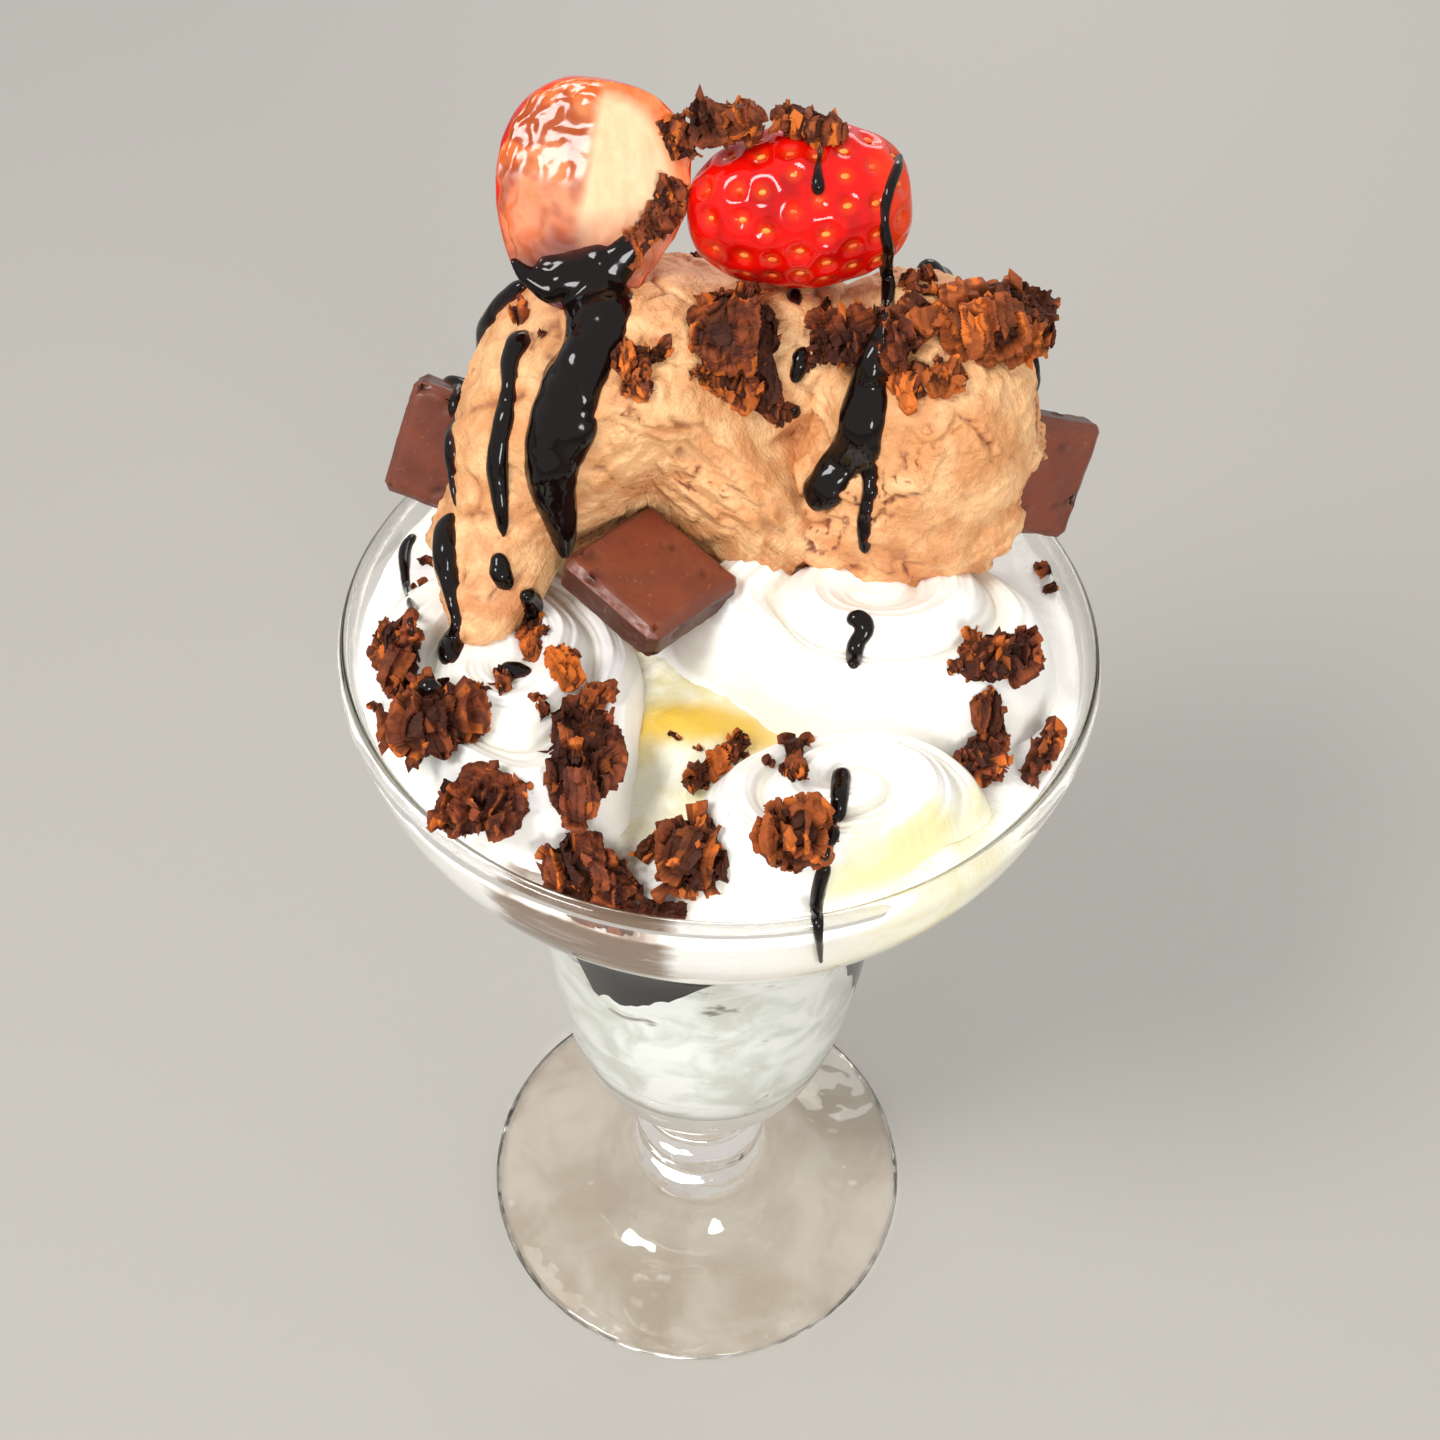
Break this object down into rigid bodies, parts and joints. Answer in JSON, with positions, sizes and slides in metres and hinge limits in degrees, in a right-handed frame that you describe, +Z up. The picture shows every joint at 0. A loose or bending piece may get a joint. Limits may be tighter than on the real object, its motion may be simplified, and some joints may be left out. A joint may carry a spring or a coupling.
{
  "type": "ice cream sundae in a footed glass",
  "caption": "Ice cream sundae in a footed glass: chocolate scoops on piped cream and vanilla, topped with strawberries, chocolate squares, broken brownie and sauce.",
  "frame": {"origin": "centre of the bounding box's underside, on the glass's axis under its foot", "axes": "+Z up along the glass's axis, +X to the right and -Y towards the side that the picture shows"},
  "size_m": [0.114, 0.114, 0.2437],
  "materials": {
    "glass": "clear moulded glass, polished",
    "cream": "soft satin whipped cream",
    "vanilla": "soft satin vanilla ice cream, a little wet",
    "sauce": "glossy dark chocolate sauce",
    "chocolate_ice_cream": "grainy chocolate ice cream with glossy dark sauce runs",
    "chocolate": "satin chocolate",
    "strawberry": "wet glossy strawberry skin and pale cut face",
    "brownie": "rough broken brownie"
  },
  "bodies": {
    "root": {"glass_foot": "glass", "glass_cup": "glass", "glass_bowl": "glass", "lower_cream": "cream", "sauce_layer": "sauce", "vanilla_ice_cream": "vanilla", "whipped_cream_right": "cream", "whipped_cream_front": "cream", "whipped_cream_left": "cream", "whipped_cream_back_left": "cream", "whipped_cream_back_right": "cream", "chocolate_scoop_left": "chocolate_ice_cream", "chocolate_scoop_right": "chocolate_ice_cream", "chocolate_square_front": "chocolate", "chocolate_square_left": "chocolate", "chocolate_square_right": "chocolate", "strawberry_half": "strawberry", "strawberry_whole": "strawberry", "brownie_left_rim": "brownie", "brownie_left_upper": "brownie", "brownie_left_lower": "brownie", "brownie_left_inner": "brownie", "brownie_front_rim": "brownie", "brownie_front_middle": "brownie", "brownie_front_right": "brownie", "brownie_right_upper": "brownie", "brownie_right_lower": "brownie", "brownie_right_rim": "brownie", "brownie_scoop_left": "brownie", "brownie_scoop_middle": "brownie", "brownie_scoop_right": "brownie", "brownie_crown_left": "brownie", "brownie_crown_right": "brownie"}
  },
  "joints": []
}
